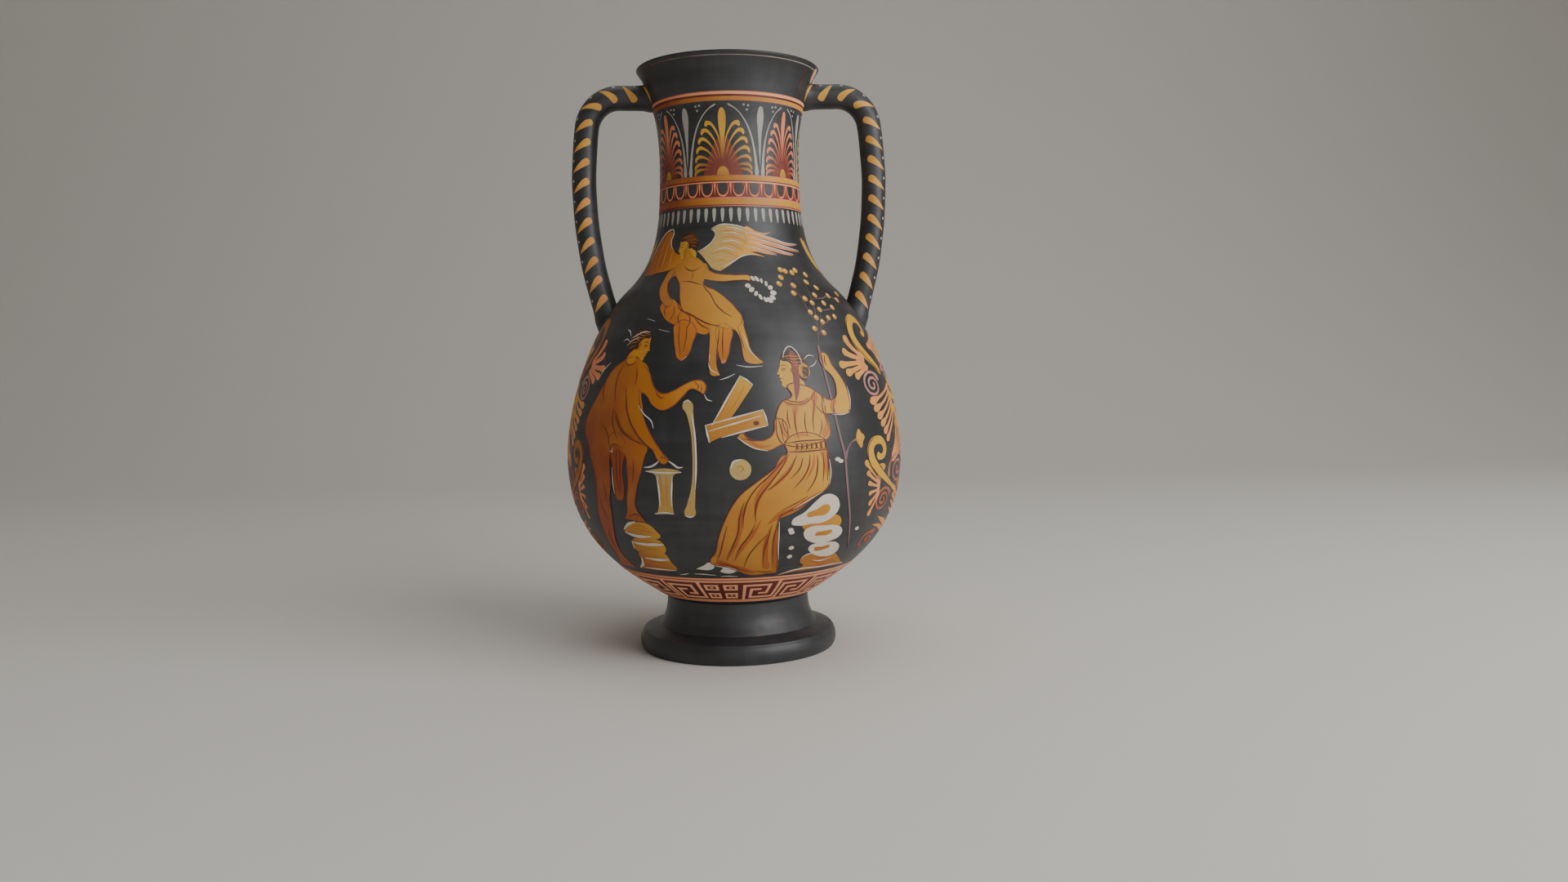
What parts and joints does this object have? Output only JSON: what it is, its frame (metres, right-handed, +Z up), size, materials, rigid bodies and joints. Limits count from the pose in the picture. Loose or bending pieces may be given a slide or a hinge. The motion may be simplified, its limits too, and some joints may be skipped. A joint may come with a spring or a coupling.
{
  "type": "amphora",
  "caption": "Two-handled painted clay amphora with a round belly, flaring neck and mouth, bowed rod handles and a moulded ring foot; holds and pours liquids or stands on display.",
  "frame": {"origin": "centre of the resting ring, on the plane that the foot stands on", "axes": "+Z up along the axis of the vase, X through the two handles, -Y towards the decorated front"},
  "size_m": [0.263, 0.263, 0.45],
  "materials": {
    "black_gloss": "glossy black slip, slightly brushed",
    "raw_slip": "matt dried slip",
    "reserved_clay": "burnished orange clay",
    "added_white": "matt white slip",
    "added_yellow": "matt golden slip",
    "relief_line": "thin dark red-brown line slip"
  },
  "bodies": {
    "root": {"foot": "black_gloss", "lower_belly": "black_gloss", "upper_belly": "black_gloss", "neck": "black_gloss", "mouth": "black_gloss", "handle_left": "black_gloss", "handle_right": "black_gloss", "foot_slip_joint": "raw_slip", "belly_slip_joint": "raw_slip", "neck_slip_joint": "raw_slip", "mouth_slip_joint": "raw_slip", "left_upper_root_slip": "raw_slip", "left_lower_root_slip": "raw_slip", "right_upper_root_slip": "raw_slip", "right_lower_root_slip": "raw_slip"}
  },
  "joints": []
}
